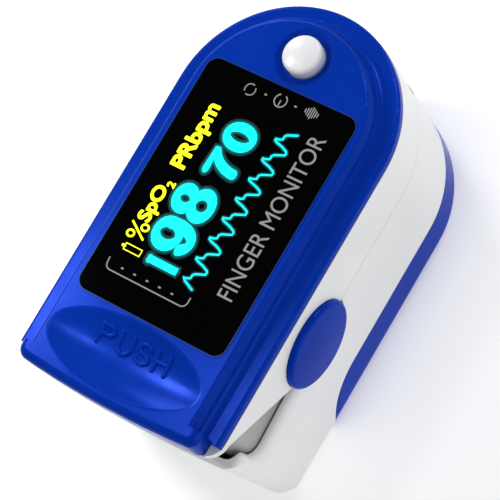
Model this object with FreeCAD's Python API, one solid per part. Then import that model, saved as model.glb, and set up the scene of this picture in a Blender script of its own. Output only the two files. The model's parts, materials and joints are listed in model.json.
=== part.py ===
import FreeCAD, Part
import math
import os

# Fingertip pulse oximeter: two sprung jaws that clamp a finger, with a display on the upper jaw.
# Millimetres. Origin at the bottom centre, +X across, +Y towards the finger end, +Z up.

Vector = FreeCAD.Vector
ALONG_X = Vector(1, 0, 0)
ALONG_Y = Vector(0, 1, 0)
ALONG_Z = Vector(0, 0, 1)

# Shell outline
half_width = 15.5
front_center_y = 12.9
front_y = front_center_y + half_width
rear_y = -28.4
rear_bow = 0.5
rear_corner = 2.6
bottom_half_width = 15.2
bottom_rear_y = -25.9
bottom_round = 2.6
wall = 1.2

# Heights
parting_z = 19.4
parting_gap = 0.05
shoulder_z = 20.5
cover_bottom_z = 26.95
rim_top_z = 28.2
plateau_z = 30.8

# Jaw hinge
hinge_y = -8.6
hinge_z = 20.4
pin_radius = 1.25
pin_bore_radius = 1.31
ear_inner_x = 12.0
ear_thickness = 1.0
ear_radius = 4.0
lobe_inner_x = 13.2
pocket_floor_x = 14.7
lobe_radius = 5.5
cap_center_z = 19.6
cap_half_y = 6.0
cap_half_z = 5.45
cap_edge_proud = 0.75
cap_dome = 0.35
cap_clearance = 0.35
spring_x = 10.55
spring_wire_radius = 0.3

# Recess of the rear corners
recess_top_z = 16.5
recess_depth = 0.7

# Rear gap between the jaws
gap_floor_z = 16.3
skirt_half_width = 14.0
skirt_rear_y = -26.0
skirt_thickness = 1.0
band_rear_z = 25.9
skirt_side_bottom_z = 15.2
skirt_rear_bottom_z = 18.6
skirt_corner_x = 12.95

# Top cover
plateau_half_width = 12.3
plateau_slope = 0.35
cove_radius = 1.2
cover_skin = 1.7
tail_half_width = 13.8
tail_front_y = -25.6
tail_bottom_z = 26.4
dish_center_y = -22.25
dish_center_x = -0.2
dish_half_x = 11.5
dish_half_y = 4.6
dish_depth = 1.25
dish_edge_radius = 1.2

# Display
lens_width = 22.5
lens_length = 33.4
lens_center_y = -0.4
lens_corner = 1.6
lens_thickness = 0.95
lens_top_z = 30.85
module_thickness = 1.4

# Power button
button_y = 20.7
button_radius = 2.6
button_hole_radius = 2.7
button_top_z = 32.3
countersink_radius = 3.8
countersink_depth = 0.7

# Circuit board and the deck under it
pcb_bottom_z = 26.0
pcb_thickness = 1.0
pcb_half_width = 12.8
pcb_rear_y = -21.0
deck_top_z = 25.4
deck_thickness = 0.8

# Lower frame
frame_top_z = 13.35
frame_thickness = 1.0
frame_rear_half_width = 12.8

# Finger channel and its pads
channel_z = 19.4
channel_half_width = 8.2
channel_half_height = 4.3
channel_rear_y = -3.0
mouth_half_width = 9.6
mouth_half_height = 5.5
pad_half_width = 10.4
pad_rear_y = -4.5
pad_gap = 0.35
sensor_y = 11.0

# Batteries: two AAA cells side by side
cell_radius = 5.25
cell_length = 44.5
cell_nub_radius = 2.7
cell_nub_length = 1.0
cell_x = 5.4
cell_z = 6.9
cell_rear_y = -22.9
bay_wall_x = 11.0
bay_wall_thickness = 1.0
bay_rear_y = -24.2
bay_front_y = 22.0
lip_inner_x = 11.9
lip_outer_x = 13.2
lip_bottom_z = 3.4
contact_thickness = 0.3

# Battery cover
cover_edge_z = 6.65
cover_rear_y = -14.2
cover_gap = 0.1

# Screws
screw_radius = 0.8
screw_head_radius = 1.35
screw_head_height = 0.8
frame_screw_x = 11.6
frame_screw_ys = (14.0, -19.0)
top_screw_spots = ((8.8, 19.5), (9.3, -22.9))


def box(x0, x1, y0, y1, z0, z1):
    """Box between two corners."""
    return Part.makeBox(x1 - x0, y1 - y0, z1 - z0, Vector(x0, y0, z0))


def rod(radius, start, direction, length):
    """Cylinder from a start point along a direction."""
    return Part.makeCylinder(radius, length, start, direction)


def both_sides(shape):
    """The shape and its mirror image on the other side."""
    return Part.makeCompound([shape, shape.mirror(Vector(0, 0, 0), ALONG_X)])


def outline(half, center_y, rear, corner, z):
    """Plan outline at height z: round finger end, straight sides, bowed rear edge with round corners."""
    side_rear = rear + rear_bow + corner
    bevel = corner * (1 - math.sqrt(0.5))
    right_front = Vector(half, center_y, z)
    left_front = Vector(-half, center_y, z)
    right_rear = Vector(half, side_rear, z)
    left_rear = Vector(-half, side_rear, z)
    right_foot = Vector(half - corner, rear + rear_bow, z)
    left_foot = Vector(corner - half, rear + rear_bow, z)
    edges = [
        Part.Arc(right_front, Vector(0, center_y + half, z), left_front).toShape(),
        Part.makeLine(left_front, left_rear),
        Part.Arc(left_rear, Vector(bevel - half, rear + rear_bow + bevel, z), left_foot).toShape(),
        Part.Arc(left_foot, Vector(0, rear, z), right_foot).toShape(),
        Part.Arc(right_foot, Vector(half - bevel, rear + rear_bow + bevel, z), right_rear).toShape(),
        Part.makeLine(right_rear, right_front),
    ]
    return Part.Wire(edges)


def prism(half, center_y, rear, corner, z0, z1):
    """Straight-sided block with the plan outline."""
    face = Part.Face(outline(half, center_y, rear, corner, z0))
    return face.extrude(Vector(0, 0, z1 - z0))


def tapered(lower, upper, z0, z1):
    """Block between two outlines, each given as (half width, front centre, rear, corner)."""
    wires = [outline(*lower, z0), outline(*upper, z1)]
    return Part.makeLoft(wires, True, True)


def lower_section(inset, z):
    """Plan outline of the lower jaw at one height, moved in by an inset."""
    share = z / shoulder_z
    half = bottom_half_width + (half_width - bottom_half_width) * share - inset
    rear = bottom_rear_y + (rear_y + 0.4 - bottom_rear_y) * share + inset
    return half, front_center_y, rear, max(rear_corner - inset, 1.2)


def lower_block(inset, z0, z1):
    """The lower jaw's outer form moved in by an inset, between two heights."""
    return tapered(lower_section(inset, z0), lower_section(inset, z1), z0, z1)


def side_face(edges):
    """Solid whose side view is a closed set of edges in the YZ plane, across the whole width."""
    face = Part.Face(Part.Wire(edges))
    return face.extrude(Vector(4 * half_width, 0, 0))


def side_point(y, z):
    """Point of a side view, outside the left of the object."""
    return Vector(-2 * half_width, y, z)


def side_lines(points):
    """Straight edges of a side view through the points."""
    spots = [side_point(y, z) for y, z in points]
    return [Part.makeLine(a, b) for a, b in zip(spots, spots[1:])]


def side_arc(start, middle, end):
    """Arc of a side view through three points."""
    return Part.Arc(side_point(*start), side_point(*middle), side_point(*end)).toShape()


def channel_cutter(half_x, half_z, y0, y1):
    """Elliptical rod along Y through the finger channel."""
    ellipse = Part.Ellipse(Vector(0, y0, channel_z), half_x, half_z)
    ellipse.Axis = ALONG_Y
    ellipse.XAxis = ALONG_X
    face = Part.Face(Part.Wire([ellipse.toShape()]))
    return face.extrude(Vector(0, y1 - y0, 0))


def hinge_ellipse(side, half_y, half_z, x0, x1):
    """Elliptical disc about the middle of a hinge cap on one side, between two distances from the middle."""
    ellipse = Part.Ellipse(Vector(side * x0, hinge_y, cap_center_z), half_y, half_z)
    ellipse.Axis = ALONG_X
    ellipse.XAxis = ALONG_Y
    face = Part.Face(Part.Wire([ellipse.toShape()]))
    return face.extrude(Vector(side * (x1 - x0), 0, 0))


def hinge_disc(side, radius, x0, x1):
    """Round disc about the hinge line on one side."""
    return rod(radius, Vector(side * x0, hinge_y, hinge_z), Vector(side, 0, 0), x1 - x0)


def lower_outer():
    """Outer form of the lower jaw with its rounded bottom edge."""
    block = lower_block(0, 0, shoulder_z)
    bottom = [e for e in block.Edges if e.BoundBox.ZMax < 0.01]
    return block.makeFillet(bottom_round, bottom)


def battery_cover_region(gap):
    """Side view of the battery cover, grown by a gap: level edge, then a round rear end to the floor."""
    edge_z = cover_edge_z + gap
    rear = cover_rear_y - gap
    edges = side_lines([(rear, 0), (rear, -5), (60, -5), (60, edge_z), (-6.6, edge_z)])
    edges.append(side_arc((-6.6, edge_z), (-12.0 - gap * 0.7, 4.45 + gap * 0.7), (rear, 0)))
    return side_face(edges)


def lower_jaw_profile(x, drop):
    """Side view of the lower housing at one x, the rear gap's edges lowered and set back by a drop."""
    def line(*points):
        spots = [Vector(x, y, z) for y, z in points]
        return [Part.makeLine(a, b) for a, b in zip(spots, spots[1:])]

    def arc(*points):
        return [Part.Arc(*[Vector(x, y, z) for y, z in points]).toShape()]
    top_z = parting_z - parting_gap
    low_z = gap_floor_z - drop
    back = drop / 2
    gap_front = (-14.0, low_z + 0.7)
    gap_rear = (-21.9, low_z)
    step_foot = (-24.3 - back, low_z + 1.7)
    step_top = (-24.5 - back, shoulder_z - 1 - drop)
    shoulder_front = (-25.5 - back, shoulder_z - drop)
    shoulder_rear = (-26.95, shoulder_z - drop)
    rear_foot = (-28.2, shoulder_z - 3.1 - drop)
    edges = line(gap_rear, gap_front, (hinge_y, low_z + 0.7), (-4.0, top_z), (60, top_z), (60, -5))
    edges += line((60, -5), (-60, -5), (-60, rear_foot[1] - 0.4), rear_foot)
    edges += arc(rear_foot, (-27.75, shoulder_z - 0.9 - drop), shoulder_rear)
    edges += line(shoulder_rear, shoulder_front)
    edges += arc(shoulder_front, (-24.85 - back, shoulder_z - 0.3 - drop), step_top)
    edges += line(step_top, step_foot)
    edges += arc(step_foot, (-23.5 - 0.8 * back, low_z + 0.45), gap_rear)
    return Part.Wire(edges)


def lower_jaw_region():
    """Space of the lower housing: level parting edge, low rear gap and raised shoulder, with round brows."""
    flat_x = half_width - 1.15
    brow = ((flat_x, 0), (flat_x + 0.4, 0.12), (flat_x + 0.75, 0.45), (flat_x + 1.0, 1.1),
            (half_width, 2.3))
    middle = Part.Face(lower_jaw_profile(-flat_x, 0)).extrude(Vector(2 * flat_x, 0, 0))
    right = Part.makeLoft([lower_jaw_profile(x, drop) for x, drop in brow], True, False)
    return middle.fuse(both_sides(right).Solids)


def corner_recess():
    """Wedges that narrow the lower housing behind a raked line at its rear corners, deeper below."""
    half, center, rear, corner = lower_section(0, 0)
    top_half, _, top_rear, _ = lower_section(0, recess_top_z)
    foot = (half - recess_depth, center, rear - 0.05, corner)
    kept = tapered(foot, (top_half, center, top_rear - 0.05, corner), 0, recess_top_z)
    front_line = [(-25.6, recess_top_z), (-23.7, 0)]
    behind = side_face(side_lines(front_line + [(-60, 0), (-60, recess_top_z), front_line[0]]))
    return behind.cut(kept)


def upper_jaw_region():
    """Side view of the upper housing's outer band: level parting edge, then a slope up to the rear."""
    low_z = parting_z + parting_gap
    edges = side_lines([(60, low_z), (-5.0, low_z), (-10.0, 17.6), (-13.0, 17.75), (-25.1, band_rear_z),
                        (-60, band_rear_z), (-60, 60), (60, 60), (60, low_z)])
    return side_face(edges)


def make_lower_housing():
    """White lower shell with the battery bay inside it, open below for the battery cover."""
    shell = lower_outer().cut(lower_block(wall, wall, shoulder_z + 0.01))
    shell = shell.common(lower_jaw_region())
    shell = shell.cut(battery_cover_region(cover_gap))
    shell = shell.cut(channel_cutter(mouth_half_width, mouth_half_height, 20, 40))
    cap_space = hinge_ellipse(1, cap_half_y + cap_clearance, cap_half_z + cap_clearance, 13, 17)
    shell = shell.cut(both_sides(cap_space))
    shell = shell.cut(corner_recess())
    bay = make_battery_bay()
    housing = shell.fuse(bay).removeSplitter()
    screw_holes = [rod(screw_radius, Vector(side * frame_screw_x, y, 9.8), ALONG_Z, 4)
                   for side in (-1, 1) for y in frame_screw_ys]
    return housing.cut(Part.makeCompound(screw_holes))


def make_battery_bay():
    """Bay walls along both cells, end walls, screw posts and the lips that carry the battery cover."""
    bay_top_z = frame_top_z - frame_thickness
    bay_bottom_z = 1.0
    post_bottom_z = 9.8
    web_bottom_z = 7.2
    inner = lower_block(wall - 0.3, bay_bottom_z, bay_top_z)
    cover_clear = lower_block(wall + 0.5, bay_bottom_z, bay_top_z)
    front_wall = box(-9.4, 9.4, bay_front_y, bay_front_y + 0.8, 1.8, bay_top_z)
    rear_wall = box(-12, 12, bay_rear_y - 0.8, bay_rear_y, bay_bottom_z, bay_top_z)
    halves = [box(3.2, 4.0, bay_front_y, front_y, web_bottom_z, bay_top_z),
              box(bay_wall_x, bay_wall_x + bay_wall_thickness, bay_rear_y - 0.8, 19.5, 1.8, bay_top_z),
              box(lip_inner_x, lip_outer_x, -11, 9, lip_bottom_z, lip_bottom_z + 0.8)]
    for y in (-16.5, -9.0, 4.0, 16.0):
        halves.append(box(bay_wall_x + 0.5, half_width, y, y + 1.0, web_bottom_z, bay_top_z))
    for y in frame_screw_ys:
        halves.append(rod(1.3, Vector(frame_screw_x, y, post_bottom_z), ALONG_Z, bay_top_z - post_bottom_z))
    bay = front_wall.fuse([rear_wall] + [piece for half in halves for piece in both_sides(half).Solids])
    above = box(-20, 20, -40, 40, cover_edge_z + cover_gap, 40)
    behind = box(-20, 20, -40, cover_rear_y - 0.4, 0, 40)
    attached = bay.common(inner).common(above.fuse(behind))
    return attached.fuse(bay.common(cover_clear))


def make_battery_cover():
    """Blue sliding cover: floor, wrapped sides and front, and ledges that ride on the bay's lips."""
    cover = lower_outer().common(battery_cover_region(0))
    cover = cover.cut(lower_block(wall, wall, shoulder_z))
    ledge_bottom_z = lip_bottom_z + 0.95
    ledge = box(lip_outer_x - 0.5, half_width, -8, 9, ledge_bottom_z, ledge_bottom_z + 0.85)
    ledge = ledge.common(lower_block(wall - 0.2, wall, 8))
    cover = cover.fuse(both_sides(ledge).Solids)
    grip_grooves = [box(-5, 5, y, y + 0.6, -1, 0.35) for y in (17.0, 18.5, 20.0, 21.5)]
    return cover.cut(Part.makeCompound(grip_grooves)).removeSplitter()


def make_lower_frame():
    """Inner deck over the cells, with the two hinge ears and the detector's seat."""
    deck_bottom = frame_top_z - frame_thickness
    deck = lower_block(wall + 0.1, deck_bottom, frame_top_z)
    narrow = box(-frame_rear_half_width, frame_rear_half_width, bay_rear_y - 0.6, 1, 0, 40)
    wide = box(-20, 20, 0, 40, 0, 40)
    frame = deck.common(narrow.fuse(wide))
    ear_foot = box(ear_inner_x, ear_inner_x + 0.8, hinge_y - ear_radius, hinge_y + ear_radius,
                   deck_bottom, hinge_z)
    frame = frame.fuse(both_sides(ear_foot).Solids)
    for side in (-1, 1):
        frame = frame.fuse(hinge_disc(side, ear_radius, ear_inner_x, ear_inner_x + ear_thickness))
        frame = frame.cut(hinge_disc(side, pin_bore_radius, ear_inner_x - 1, ear_inner_x + 2))
    for side in (-1, 1):
        for y in frame_screw_ys:
            frame = frame.cut(rod(screw_radius + 0.1, Vector(side * frame_screw_x, y, 10), ALONG_Z, 5))
    return frame.cut(box(-3.6, 3.6, sensor_y - 4.1, sensor_y + 4.1, 10, 16)).removeSplitter()


def pad_block(z0, z1):
    """Plain block of a finger pad with its lip in the shell's mouth."""
    body = prism(13.9, front_center_y, -30, 1.2, z0, z1)
    body = body.common(box(-pad_half_width, pad_half_width, pad_rear_y, 40, z0, z1))
    lip = prism(half_width - 0.5, front_center_y, -20, 1.2, z0, z1)
    lip = lip.common(channel_cutter(mouth_half_width - 0.15, mouth_half_height - 0.15, 15, 40))
    return body.fuse(lip)


def channel_space():
    """The finger's own space: a round-ended channel that flares at the mouth."""
    bore = channel_cutter(channel_half_width, channel_half_height, channel_rear_y + 3.5, 40)
    end = Part.makeSphere(1.0)
    stretch = FreeCAD.Matrix()
    stretch.scale(channel_half_width, 3.5, channel_half_height)
    end = end.transformGeometry(stretch)
    end.translate(Vector(0, channel_rear_y + 3.5, channel_z))
    return bore.fuse(end)


def make_lower_finger_pad():
    """Soft lower cradle with a window over the photodiode."""
    pad = pad_block(frame_top_z + 0.05, parting_z - pad_gap).cut(channel_space())
    pad = pad.cut(box(-2.6, 2.6, sensor_y - 2.6, sensor_y + 2.6, 10, channel_z))
    head_space = rod(screw_head_radius + 0.3, Vector(frame_screw_x, frame_screw_ys[0], 10), ALONG_Z, 12)
    return pad.cut(both_sides(head_space)).removeSplitter()


def make_upper_finger_pad():
    """Soft upper cradle with a window under the emitters."""
    pad = pad_block(parting_z + pad_gap, deck_top_z - deck_thickness - 0.05).cut(channel_space())
    pad = pad.cut(box(-2.6, 2.6, sensor_y - 2.6, sensor_y + 2.6, channel_z, 30))
    spot_x, spot_y = top_screw_spots[0]
    head_space = rod(screw_head_radius + 0.25, Vector(spot_x, spot_y, 23.6), ALONG_Z, 2)
    return pad.cut(both_sides(head_space)).removeSplitter()


def make_upper_housing():
    """White upper shell with its deck, hinge lobes and the recessed skirt of the rear gap."""
    deck_bottom = deck_top_z - deck_thickness
    low_z = 13.0
    outer = prism(half_width, front_center_y, rear_y + 0.2, rear_corner, low_z, cover_bottom_z - 0.05)
    hollow = prism(half_width - wall, front_center_y, rear_y + 0.2 + wall, 1.4, low_z - 1, cover_bottom_z + 1)
    band = outer.cut(hollow).common(upper_jaw_region())
    band = band.cut(channel_cutter(mouth_half_width, mouth_half_height, 20, 40))
    deck = prism(half_width - wall + 0.1, front_center_y, -20.5, 1.4, deck_bottom, deck_top_z)
    deck = deck.fuse(prism(skirt_half_width - 0.1, front_center_y, skirt_rear_y + 0.1, 2.3,
                           deck_bottom, deck_top_z))
    skirt = prism(skirt_half_width, front_center_y, skirt_rear_y, 2.4, low_z, tail_bottom_z - 0.05)
    skirt = skirt.cut(prism(skirt_half_width - skirt_thickness, front_center_y, skirt_rear_y + skirt_thickness,
                            1.6, low_z - 1, cover_bottom_z))
    bottom_z = skirt_side_bottom_z
    skirt_side = side_face(side_lines([(-9.0, 27.0), (-9.0, 17.0), (-14.0, bottom_z), (-40, bottom_z),
                                       (-40, 27.0), (-9.0, 27.0)]))
    skirt = skirt.common(skirt_side)
    skirt = skirt.cut(box(-skirt_corner_x, skirt_corner_x, -40, -23.2, low_z, skirt_rear_bottom_z))
    shelf = outer.common(box(-20, 20, -40, -25.3, band_rear_z, tail_bottom_z - 0.05))
    tail_space = prism(tail_half_width + 0.05, front_center_y, rear_y - 1, 1.5, tail_bottom_z - 0.05, 40)
    tail_space = tail_space.common(box(-20, 20, -40, tail_front_y + 0.05, 0, 40))
    housing = band.fuse([deck, skirt, shelf]).cut(tail_space)
    for side in (-1, 1):
        housing = housing.fuse(hinge_disc(side, lobe_radius, lobe_inner_x, pocket_floor_x))
        pocket = hinge_ellipse(side, cap_half_y + 0.05, cap_half_z + 0.05, pocket_floor_x, 17.0)
        housing = housing.cut(pocket)
        housing = housing.cut(hinge_disc(side, ear_radius + 0.35, ear_inner_x - 1, lobe_inner_x - 0.01))
        housing = housing.cut(hinge_disc(side, pin_radius, lobe_inner_x - 1, pocket_floor_x - 0.1))
        for x, y in top_screw_spots:
            housing = housing.cut(rod(screw_radius + 0.1, Vector(side * x, y, 20), ALONG_Z, 10))
    housing = housing.cut(box(-3.6, 3.6, sensor_y - 4.1, sensor_y + 4.1, 20, 30))
    return housing.removeSplitter()


def dish_cutter():
    """Shallow ellipsoid that scoops the squeeze dish out of the plateau."""
    rise = 12.0
    depth_radius = rise + dish_depth
    widen = 1 / math.sqrt(1 - (rise / depth_radius) ** 2)
    stretch = FreeCAD.Matrix()
    stretch.scale(dish_half_x * widen, dish_half_y * widen, depth_radius)
    dish = Part.makeSphere(1.0).transformGeometry(stretch)
    dish.translate(Vector(dish_center_x, dish_center_y, plateau_z + rise))
    return dish


def rounded_slab(width, length, corner, center_y, z0, z1):
    """Upright block with rounded corners in plan."""
    slab = box(-width / 2, width / 2, center_y - length / 2, center_y + length / 2, z0, z1)
    upright = [e for e in slab.Edges if e.BoundBox.ZLength > (z1 - z0) * 0.9]
    return slab.makeFillet(corner, upright)


def cover_profile():
    """Section of the top cover from its middle out to the rim: plateau, cove and rim."""
    rim_x = half_width - 0.05
    foot_x = plateau_half_width + plateau_slope
    cove_x = foot_x + cove_radius
    bevel = cove_radius * (1 - math.sqrt(0.5))
    points = {
        "low_middle": (0, cover_bottom_z), "low_rim": (rim_x, cover_bottom_z),
        "rim_side": (rim_x, rim_top_z - 0.5), "rim_round": (rim_x - 0.15, rim_top_z - 0.15),
        "rim_top": (rim_x - 0.5, rim_top_z), "cove_out": (cove_x, rim_top_z),
        "cove_mid": (foot_x + bevel, rim_top_z + bevel), "cove_in": (foot_x, rim_top_z + cove_radius),
        "edge_side": (plateau_half_width, plateau_z - 0.45),
        "edge_round": (plateau_half_width - 0.13, plateau_z - 0.13),
        "edge_top": (plateau_half_width - 0.45, plateau_z), "top_middle": (0, plateau_z),
    }
    spot = {name: Vector(x, front_center_y, z) for name, (x, z) in points.items()}
    edges = [
        Part.makeLine(spot["low_middle"], spot["low_rim"]),
        Part.makeLine(spot["low_rim"], spot["rim_side"]),
        Part.Arc(spot["rim_side"], spot["rim_round"], spot["rim_top"]).toShape(),
        Part.makeLine(spot["rim_top"], spot["cove_out"]),
        Part.Arc(spot["cove_out"], spot["cove_mid"], spot["cove_in"]).toShape(),
        Part.makeLine(spot["cove_in"], spot["edge_side"]),
        Part.Arc(spot["edge_side"], spot["edge_round"], spot["edge_top"]).toShape(),
        Part.makeLine(spot["edge_top"], spot["top_middle"]),
        Part.makeLine(spot["top_middle"], spot["low_middle"]),
    ]
    return Part.Face(Part.Wire(edges))


def cover_outer():
    """Outer form of the top cover: the section turned round the finger end and run back, and the tail."""
    profile = cover_profile()
    front = profile.revolve(Vector(0, front_center_y, 0), ALONG_Z, 180)
    right = profile.extrude(Vector(0, tail_front_y - 0.4 - front_center_y, 0))
    left = right.mirror(Vector(0, 0, 0), ALONG_X)
    body = front.fuse([right, left]).removeSplitter()
    tail = prism(tail_half_width, front_center_y, rear_y, 1.5, tail_bottom_z, plateau_z)
    tail = tail.common(box(-40, 40, -40, tail_front_y, 0, 60))
    rear_edges = [e for e in tail.Edges if e.CenterOfMass.y < tail_front_y - 0.1]
    tail = tail.makeFillet(1.1, [e for e in rear_edges if e.BoundBox.ZMin > plateau_z - 0.01])
    return body.fuse(tail).removeSplitter()


def make_top_cover():
    """Blue top cover: hollow below, with the display window, squeeze dish, button hole and screw posts."""
    cover = cover_outer()
    skin_z = plateau_z - cover_skin
    rim_hollow = prism(half_width - wall, front_center_y, tail_front_y + 0.8, 1.4, 20, rim_top_z - 1.0)
    top_hollow = prism(plateau_half_width - 1.1, front_center_y, -19.6, 1.0, 20, skin_z)
    dish_hollow = prism(plateau_half_width - 1.1, front_center_y, rear_y + 1.5, 1.0, 20, skin_z - 1.0)
    cover = cover.cut(rim_hollow.fuse([top_hollow, dish_hollow]))
    cover = cover.cut(dish_cutter())
    rim = [e for e in cover.Edges
           if e.BoundBox.ZMin > plateau_z - 0.01 and abs(e.BoundBox.XLength - 2 * dish_half_x) < 0.1]
    cover = cover.makeFillet(dish_edge_radius, rim)
    lens_bottom = lens_top_z - lens_thickness
    seat = rounded_slab(lens_width + 0.1, lens_length + 0.1, lens_corner, lens_center_y, lens_bottom, 40)
    cover = cover.cut(seat)
    cover = cover.cut(rounded_slab(lens_width - 2, lens_length - 2, 1.0, lens_center_y, 25, 40))
    cover = cover.cut(rod(button_hole_radius, Vector(0, button_y, 20), ALONG_Z, 20))
    sink = Part.makeCone(countersink_radius - countersink_depth, countersink_radius + 0.3,
                         countersink_depth + 0.3, Vector(0, button_y, plateau_z - countersink_depth))
    cover = cover.cut(sink)
    post_feet = (pcb_bottom_z + pcb_thickness + 0.05, deck_top_z + 0.05)
    for (x, y), foot_z, height, hole_top_z in zip(top_screw_spots, post_feet, (2.6, 3.0), (28.6, 28.0)):
        post = rod(1.7, Vector(x, y, foot_z), ALONG_Z, height)
        cover = cover.fuse([side.common(cover_post_space()) for side in both_sides(post).Solids])
        cover = cover.cut(both_sides(rod(screw_radius, Vector(x, y, 20), ALONG_Z, hole_top_z - 20)))
    return cover.removeSplitter()


def cover_post_space():
    """Space inside the top cover and the upper housing that its screw posts may fill."""
    return prism(half_width - wall - 0.15, front_center_y, rear_y + 1.8, 1.4, 20, plateau_z - 1.0)


def make_display_lens():
    """Clear window over the display, flush with the plateau."""
    low_z = lens_top_z - lens_thickness
    lens = rounded_slab(lens_width, lens_length, lens_corner, lens_center_y, low_z, lens_top_z)
    top = [e for e in lens.Edges if e.BoundBox.ZMin > lens_top_z - 0.01]
    return lens.makeFillet(0.12, top)


def make_display_module():
    """Glass display panel under the window."""
    top_z = lens_top_z - lens_thickness - 0.85
    return rounded_slab(lens_width - 1, lens_length - 1.4, 0.4, lens_center_y, top_z - module_thickness, top_z)


def make_display_flex():
    """Ribbon from the rear of the display panel, round to the circuit board."""
    top_z = lens_top_z - lens_thickness - 0.85 - 0.5
    low_z = pcb_bottom_z + pcb_thickness + 0.02
    start_y = lens_center_y - (lens_length - 1.4) / 2
    turn_y = start_y - 1.2
    end_y = start_y + 2.5
    thick = 0.15
    middle = (top_z + low_z) / 2
    radius = (top_z - low_z) / 2
    inner = radius - thick
    edges = side_lines([(start_y, top_z - thick), (start_y, top_z), (turn_y, top_z)])
    edges.append(side_arc((turn_y, top_z), (turn_y - radius, middle), (turn_y, low_z)))
    edges += side_lines([(turn_y, low_z), (end_y, low_z), (end_y, low_z + thick), (turn_y, low_z + thick)])
    edges.append(side_arc((turn_y, low_z + thick), (turn_y - inner, middle), (turn_y, top_z - thick)))
    edges += side_lines([(turn_y, top_z - thick), (start_y, top_z - thick)])
    return side_face(edges).common(box(-5, 5, -40, 40, 0, 60))


def make_main_pcb():
    """Main circuit board with a round finger end and holes for the front screws."""
    pcb = prism(pcb_half_width, front_center_y, pcb_rear_y, 0.8, pcb_bottom_z, pcb_bottom_z + pcb_thickness)
    x, y = top_screw_spots[0]
    for side in (-1, 1):
        pcb = pcb.cut(rod(screw_radius + 0.2, Vector(side * x, y, 20), ALONG_Z, 10))
    return pcb


def make_pcb_chips():
    """Microcontroller, analogue chip, regulator and small parts on the board's rear and edges."""
    top_z = pcb_bottom_z + pcb_thickness
    chips = [box(-3.5, 3.5, -10.5, -3.5, pcb_bottom_z - 0.5, pcb_bottom_z),
             box(-8.5, -4.9, 0.5, 4.5, pcb_bottom_z - 0.45, pcb_bottom_z),
             box(5.0, 8.0, 2.0, 5.0, pcb_bottom_z - 0.45, pcb_bottom_z)]
    for x in (-9.0, -6.5, 6.5, 9.0):
        chips.append(box(x, x + 0.8, -19.6, -18.0, top_z, top_z + 0.5))
    return Part.makeCompound(chips)


def make_tact_switch():
    """Body of the small push switch under the power button, with a bore for its plunger."""
    base_z = pcb_bottom_z + pcb_thickness
    body = box(-2.2, 2.2, button_y - 2.2, button_y + 2.2, base_z, base_z + 1.0)
    return body.cut(rod(1.28, Vector(0, button_y, base_z + 0.2), ALONG_Z, 2))


def make_switch_plunger():
    """Plunger of the push switch, carried by the power button."""
    base_z = pcb_bottom_z + pcb_thickness
    return rod(1.2, Vector(0, button_y, base_z + 0.6), ALONG_Z, 0.9)


def make_power_button():
    """White domed button with a flange that keeps it under the cover."""
    flange_low = pcb_bottom_z + pcb_thickness + 1.5
    dome_radius = 6.2
    head = rod(button_radius, Vector(0, button_y, flange_low), ALONG_Z, button_top_z - flange_low)
    dome = Part.makeSphere(dome_radius, Vector(0, button_y, button_top_z - dome_radius))
    head = head.common(dome)
    rim = [e for e in head.Edges if 0.01 > e.BoundBox.ZLength and e.BoundBox.ZMin > plateau_z - 0.4]
    head = head.makeFillet(0.6, rim)
    flange = rod(button_radius + 0.5, Vector(0, button_y, flange_low), ALONG_Z, 0.5)
    return head.fuse(flange).removeSplitter()


def make_emitter_board():
    """Small board that holds the emitters in the upper deck."""
    return box(-3.5, 3.5, sensor_y - 4, sensor_y + 4, deck_top_z - deck_thickness, deck_top_z)


def make_emitter_leds():
    """Red and infrared emitter package, facing down over the fingertip."""
    top_z = deck_top_z - deck_thickness
    package = box(-1.9, 1.9, sensor_y - 1.4, sensor_y + 1.4, top_z - 0.6, top_z)
    for x in (-0.8, 0.8):
        package = package.fuse(rod(0.5, Vector(x, sensor_y, top_z - 0.8), ALONG_Z, 0.3))
    return package.removeSplitter()


def make_detector_board():
    """Small board that holds the photodiode in the lower frame."""
    return box(-3.5, 3.5, sensor_y - 4, sensor_y + 4, frame_top_z - frame_thickness + 0.1, frame_top_z)


def make_photodiode():
    """Light detector, facing up under the fingertip."""
    package = box(-2.0, 2.0, sensor_y - 1.6, sensor_y + 1.6, frame_top_z, frame_top_z + 0.6)
    window = box(-1.4, 1.4, sensor_y - 1.1, sensor_y + 1.1, frame_top_z + 0.5, frame_top_z + 0.7)
    return package.fuse(window)


def make_hinge_cap(side):
    """Blue oval cap over one hinge end: a raised rim with a round edge, domed outwards."""
    edge_x = half_width + cap_edge_proud
    top_x = edge_x + cap_dome
    sphere_radius = (cap_half_y ** 2 + cap_dome ** 2) / (2 * cap_dome)
    disc = hinge_ellipse(1, cap_half_y, cap_half_z, pocket_floor_x, top_x)
    dome = Part.makeSphere(sphere_radius, Vector(top_x - sphere_radius, hinge_y, cap_center_z))
    cap = disc.common(dome)
    rim = [e for e in cap.Edges if e.BoundBox.XMin > half_width and e.BoundBox.ZLength > cap_half_z]
    cap = cap.makeFillet(0.55, rim)
    return cap if side > 0 else cap.mirror(Vector(0, 0, 0), ALONG_X)


def make_hinge_pin(side):
    """Steel pin, fixed in the upper housing's lobe and running in the lower frame's ear."""
    return hinge_disc(side, pin_radius, ear_inner_x - 2.6, pocket_floor_x - 0.1)


def ring_stack(start, direction, coil_radius, wire_radius, count):
    """Coil as a stack of square-edged rings, joined where each turn passes to the next."""
    pitch = 2.3 * wire_radius
    rings = []
    for index in range(count):
        place = start + direction * (pitch * index)
        ring = rod(coil_radius + wire_radius, place, direction, 2 * wire_radius)
        rings.append(ring.cut(rod(coil_radius - wire_radius, place, direction, 2 * wire_radius)))
    bridge = rod(wire_radius * 0.8, start + ALONG_Z * coil_radius, direction, pitch * (count - 1))
    return bridge.fuse(rings)


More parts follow.
